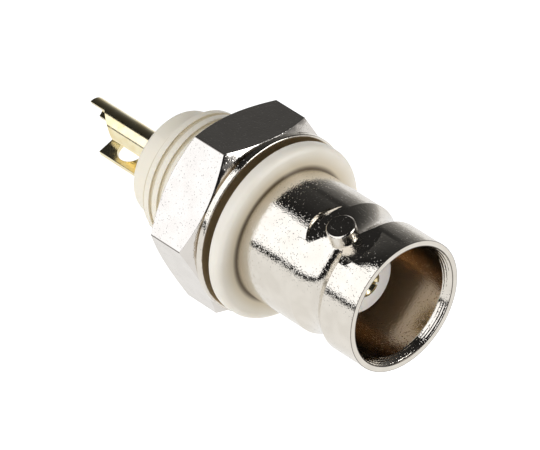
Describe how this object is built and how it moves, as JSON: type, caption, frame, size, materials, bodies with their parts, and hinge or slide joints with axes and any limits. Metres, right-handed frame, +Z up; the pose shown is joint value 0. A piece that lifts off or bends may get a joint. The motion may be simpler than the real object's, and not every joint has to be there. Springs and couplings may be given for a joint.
{
  "type": "bnc connector",
  "caption": "Insulated panel-mount BNC jack with bayonet studs, flanged housing, washer, hex nut, solder cup and ground tab.",
  "frame": {"origin": "on the axis, in the plane of the flange's back face, which seats on the panel", "axes": "+X along the axis, out of the mouth; +Z up, with the jack lying on one flat of its nut"},
  "size_m": [0.031, 0.0146, 0.0132],
  "materials": {
    "nickel": "bright nickel plate, lightly tumbled",
    "cream_plastic": "semi-gloss moulded",
    "ptfe": "waxy turned",
    "gold": "bright gold plate"
  },
  "bodies": {
    "jack": {"shell": "nickel", "housing": "cream_plastic", "front_insulator": "ptfe", "rear_insulator": "ptfe", "centre_contact": "gold", "ground_tab": "gold"},
    "loose_washer": {"washer": "nickel"},
    "nut": {"hex_nut": "nickel"}
  },
  "joints": [
    {"name": "washer_slide", "type": "slide", "parent": "jack", "child": "loose_washer", "axis": [-1, 0, 0], "range_m": [-0.00055, 0.0064]},
    {"name": "nut_turn", "type": "hinge", "parent": "loose_washer", "child": "nut", "pos_m": [-0.003, 0, 0], "axis": [-1, 0, 0], "range_deg": [-245, 2880]}
  ],
  "couplings": [
    {"joint": "washer_slide", "follows": "nut_turn", "m_per_rad": 0.00012633}
  ]
}
